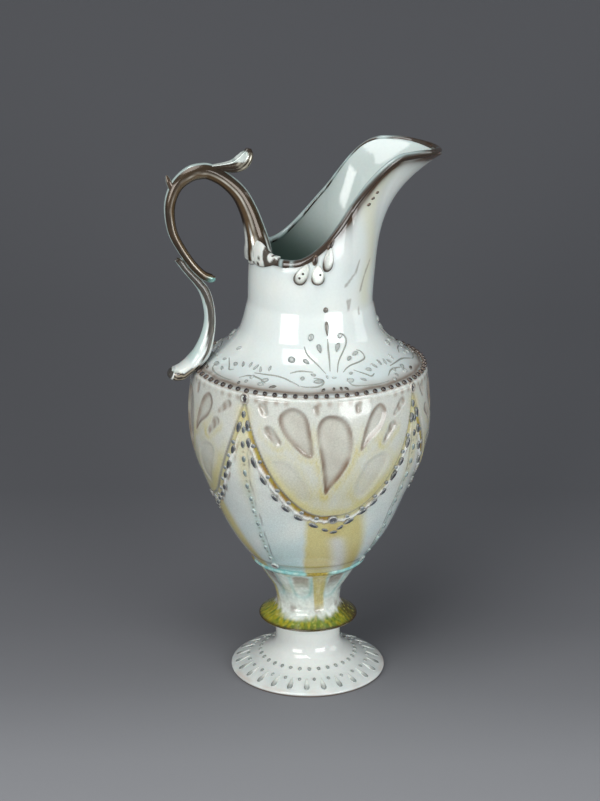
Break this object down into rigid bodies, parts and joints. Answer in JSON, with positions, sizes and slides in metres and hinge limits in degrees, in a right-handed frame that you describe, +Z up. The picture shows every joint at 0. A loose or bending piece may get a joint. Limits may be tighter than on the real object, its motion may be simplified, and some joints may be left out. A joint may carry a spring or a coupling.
{
  "type": "ewer",
  "caption": "Footed glazed ceramic ewer with a flared pouring spout, a double scroll handle, swags of leaf drops round the belly and a green collar above the foot.",
  "frame": {"origin": "centre of the foot ring, on the plane that it stands on", "axes": "+Z up along the axis of the vessel, +X towards the tip of the spout, the handle on -X"},
  "size_m": [0.1666, 0.1472, 0.3331],
  "materials": {
    "white_glaze": "glossy",
    "bowl_glaze": "glossy",
    "calyx_glaze": "glossy",
    "apron_glaze": "glossy",
    "bronze_glaze": "glossy",
    "lip_drop_glaze": "glossy",
    "leaf_drop_glaze": "glossy",
    "pearl_drop_glaze": "glossy",
    "bead_glaze": "glossy",
    "sprig_glaze": "glossy",
    "green_glaze": "glossy",
    "turquoise_glaze": "glossy",
    "foot_drop_glaze": "glossy"
  },
  "bodies": {
    "root": {"foot": "white_glaze", "foot_drops": "foot_drop_glaze", "foot_dots": "foot_drop_glaze", "collar": "green_glaze", "calyx": "calyx_glaze", "belt": "turquoise_glaze", "belt_rosettes": "pearl_drop_glaze", "bowl": "bowl_glaze", "swag_aprons": "apron_glaze", "swag_garlands": "leaf_drop_glaze", "swag_rosettes": "leaf_drop_glaze", "rib_strings": "pearl_drop_glaze", "medallions": "pearl_drop_glaze", "shoulder": "white_glaze", "shoulder_beads": "bead_glaze", "shoulder_sprigs": "sprig_glaze", "neck_spout": "white_glaze", "rim_bead": "bronze_glaze", "lip_drops": "lip_drop_glaze", "rim_claw": "white_glaze", "handle_arch": "bronze_glaze", "handle_scroll": "white_glaze", "thumb_leaf": "bronze_glaze", "handle_spur": "bronze_glaze", "terminal_leaf": "white_glaze"}
  },
  "joints": []
}
